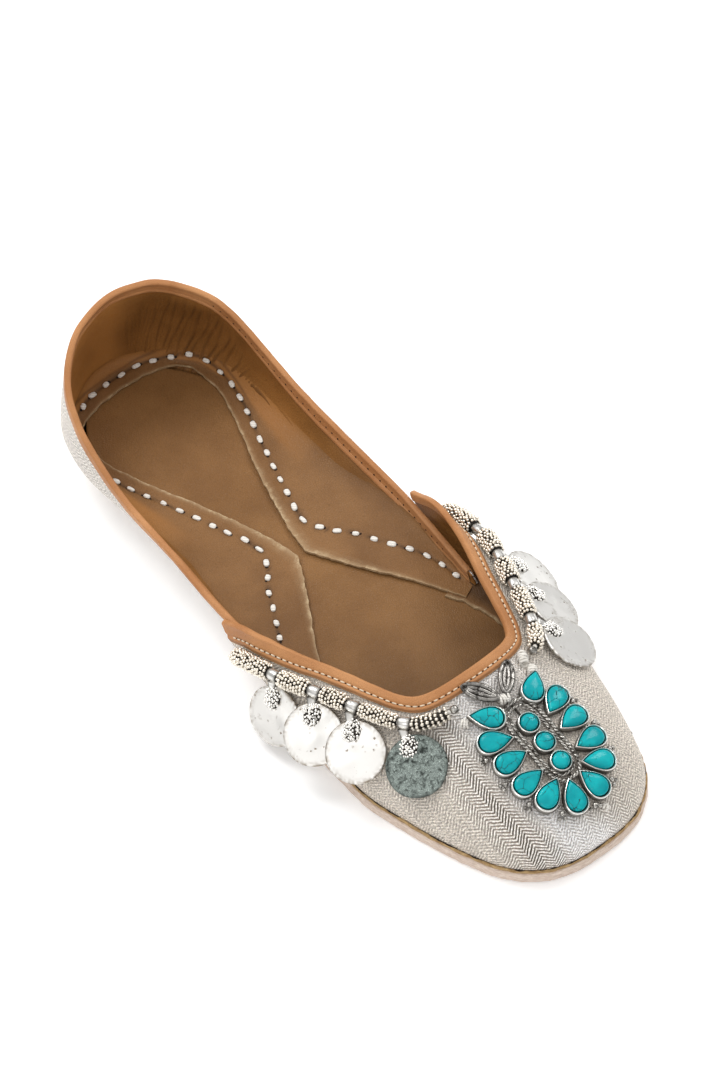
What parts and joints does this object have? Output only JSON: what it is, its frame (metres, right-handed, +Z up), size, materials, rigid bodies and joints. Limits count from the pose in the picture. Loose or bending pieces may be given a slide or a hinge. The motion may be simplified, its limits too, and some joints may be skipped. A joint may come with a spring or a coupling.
{
  "type": "jutti shoe",
  "caption": "Flat slip-on jutti: low flared heel quarter, winged vamp, bound edges, thin leather sole, coins hanging from beaded strings and a stone-set brooch on the toe.",
  "frame": {"origin": "centre of the bounding box on the floor under the sole", "axes": "+Z up, +Y from toe to heel, +X to the wearer's left"},
  "size_m": [0.1101, 0.2485, 0.0554],
  "materials": {
    "sole_leather": "pale raw leather, rough cut edge",
    "ochre_layer": "ochre leather edge",
    "silver_weave": "silver-beige herringbone with a metallic sheen",
    "brown_leather": "smooth brown lining leather",
    "tan_leather": "tan binding leather",
    "old_silver": "hammered and granulated oxidised silver tone",
    "thread": "twisted cream thread",
    "turquoise": "polished turquoise with dark veins"
  },
  "bodies": {
    "shoe": {"bead_left_1": "old_silver", "bead_left_2": "old_silver", "bead_left_3": "old_silver", "bead_left_4": "old_silver", "bead_left_5": "old_silver", "bead_right_1": "old_silver", "bead_right_2": "old_silver", "bead_right_3": "old_silver", "bead_right_4": "old_silver", "bead_right_5": "old_silver", "brooch_frame": "old_silver", "insole": "brown_leather", "leaf_loop_left": "old_silver", "leaf_loop_right": "old_silver", "lining_margin": "brown_leather", "midsole": "ochre_layer", "outsole": "sole_leather", "quarter_binding": "tan_leather", "stone_drop_left_1": "turquoise", "stone_drop_left_2": "turquoise", "stone_drop_left_3": "turquoise", "stone_drop_left_4": "turquoise", "stone_drop_left_5": "turquoise", "stone_drop_left_6": "turquoise", "stone_drop_right_1": "turquoise", "stone_drop_right_2": "turquoise", "stone_drop_right_3": "turquoise", "stone_drop_right_4": "turquoise", "stone_drop_right_5": "turquoise", "stone_drop_right_6": "turquoise", "stone_round_1": "turquoise", "stone_round_2": "turquoise", "stone_round_3": "turquoise", "string_left": "thread", "string_right": "thread", "upper": "silver_weave", "vamp_binding": "tan_leather"},
    "coin_right_1": {"coin_right_1": "old_silver"},
    "coin_right_2": {"coin_right_2": "old_silver"},
    "coin_right_3": {"coin_right_3": "old_silver"},
    "coin_right_4": {"coin_right_4": "old_silver"},
    "coin_left_1": {"coin_left_1": "old_silver"},
    "coin_left_2": {"coin_left_2": "old_silver"},
    "coin_left_3": {"coin_left_3": "old_silver"},
    "coin_left_4": {"coin_left_4": "old_silver"}
  },
  "joints": [
    {"name": "coin_right_1_swing", "type": "hinge", "parent": "shoe", "child": "coin_right_1", "pos_m": [-0.04309, -0.01624, 0.02316], "axis": [-0.1226, 0.9569, -0.2632], "range_deg": [0, 75]},
    {"name": "coin_right_2_swing", "type": "hinge", "parent": "shoe", "child": "coin_right_2", "pos_m": [-0.039, -0.0312, 0.02616], "axis": [-0.3435, 0.9322, -0.1142], "range_deg": [0, 75]},
    {"name": "coin_right_3_swing", "type": "hinge", "parent": "shoe", "child": "coin_right_3", "pos_m": [-0.03431, -0.0442, 0.02741], "axis": [-0.3415, 0.9376, -0.0658], "range_deg": [0, 75]},
    {"name": "coin_right_4_swing", "type": "hinge", "parent": "shoe", "child": "coin_right_4", "pos_m": [-0.02704, -0.06065, 0.02908], "axis": [-0.5366, 0.825, -0.177], "range_deg": [0, 75]},
    {"name": "coin_left_1_swing", "type": "hinge", "parent": "shoe", "child": "coin_left_1", "pos_m": [0.04324, -0.01499, 0.02279], "axis": [-0.1058, -0.9498, 0.2945], "range_deg": [0, 75]},
    {"name": "coin_left_2_swing", "type": "hinge", "parent": "shoe", "child": "coin_left_2", "pos_m": [0.0398, -0.02901, 0.02588], "axis": [-0.335, -0.9332, 0.1302], "range_deg": [0, 75]},
    {"name": "coin_left_3_swing", "type": "hinge", "parent": "shoe", "child": "coin_left_3", "pos_m": [0.03528, -0.0415, 0.02722], "axis": [-0.3327, -0.9402, 0.0734], "range_deg": [0, 75]},
    {"name": "coin_left_4_swing", "type": "hinge", "parent": "shoe", "child": "coin_left_4", "pos_m": [0.02948, -0.05618, 0.0284], "axis": [-0.417, -0.904, 0.0946], "range_deg": [0, 75]}
  ],
  "couplings": [
    {"joint": "coin_right_2_swing", "follows": "coin_right_1_swing", "ratio": 1},
    {"joint": "coin_right_3_swing", "follows": "coin_right_1_swing", "ratio": 1},
    {"joint": "coin_right_4_swing", "follows": "coin_right_1_swing", "ratio": 1},
    {"joint": "coin_left_2_swing", "follows": "coin_left_1_swing", "ratio": 1},
    {"joint": "coin_left_3_swing", "follows": "coin_left_1_swing", "ratio": 1},
    {"joint": "coin_left_4_swing", "follows": "coin_left_1_swing", "ratio": 1}
  ]
}
